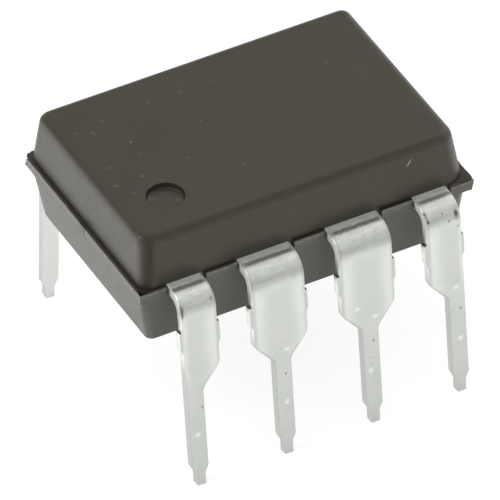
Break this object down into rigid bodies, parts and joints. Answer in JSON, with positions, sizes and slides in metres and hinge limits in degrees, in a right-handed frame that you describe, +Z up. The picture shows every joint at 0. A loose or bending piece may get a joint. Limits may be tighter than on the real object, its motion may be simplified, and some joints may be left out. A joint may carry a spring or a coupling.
{
  "type": "dip integrated circuit chip",
  "caption": "Dual in-line integrated circuit chip: a moulded resin block with two rows of bent, tin-plated leads, a parting flange and a round dimple that marks the first lead.",
  "frame": {"origin": "on the surface that the lead tips stand on, under the centre of the package", "axes": "+X along the body, from the dimple's end (leads 1 and 8) to the other; -Y faces the row of leads 1 to 4; +Z up through the top face"},
  "size_m": [0.0096, 0.0088, 0.0073],
  "materials": {
    "moulded_epoxy": "fine matte moulded resin, dark grey-brown",
    "tin_plate": "satin matte tin plating over copper alloy, bright along the bends",
    "copper_frame": "bare stamped copper alloy",
    "silver_epoxy": "dull silver-filled adhesive",
    "silicon": "polished silicon, dark blue-grey",
    "gold_wire": "drawn gold wire"
  },
  "bodies": {
    "root": {"body": "moulded_epoxy", "lead_1": "tin_plate", "lead_2": "tin_plate", "lead_3": "tin_plate", "lead_4": "tin_plate", "lead_5": "tin_plate", "lead_6": "tin_plate", "lead_7": "tin_plate", "lead_8": "tin_plate", "die_paddle": "copper_frame", "die_attach": "silver_epoxy", "die": "silicon", "bond_wire_1": "gold_wire", "bond_wire_2": "gold_wire", "bond_wire_3": "gold_wire", "bond_wire_4": "gold_wire", "bond_wire_5": "gold_wire", "bond_wire_6": "gold_wire", "bond_wire_7": "gold_wire", "bond_wire_8": "gold_wire"}
  },
  "joints": []
}
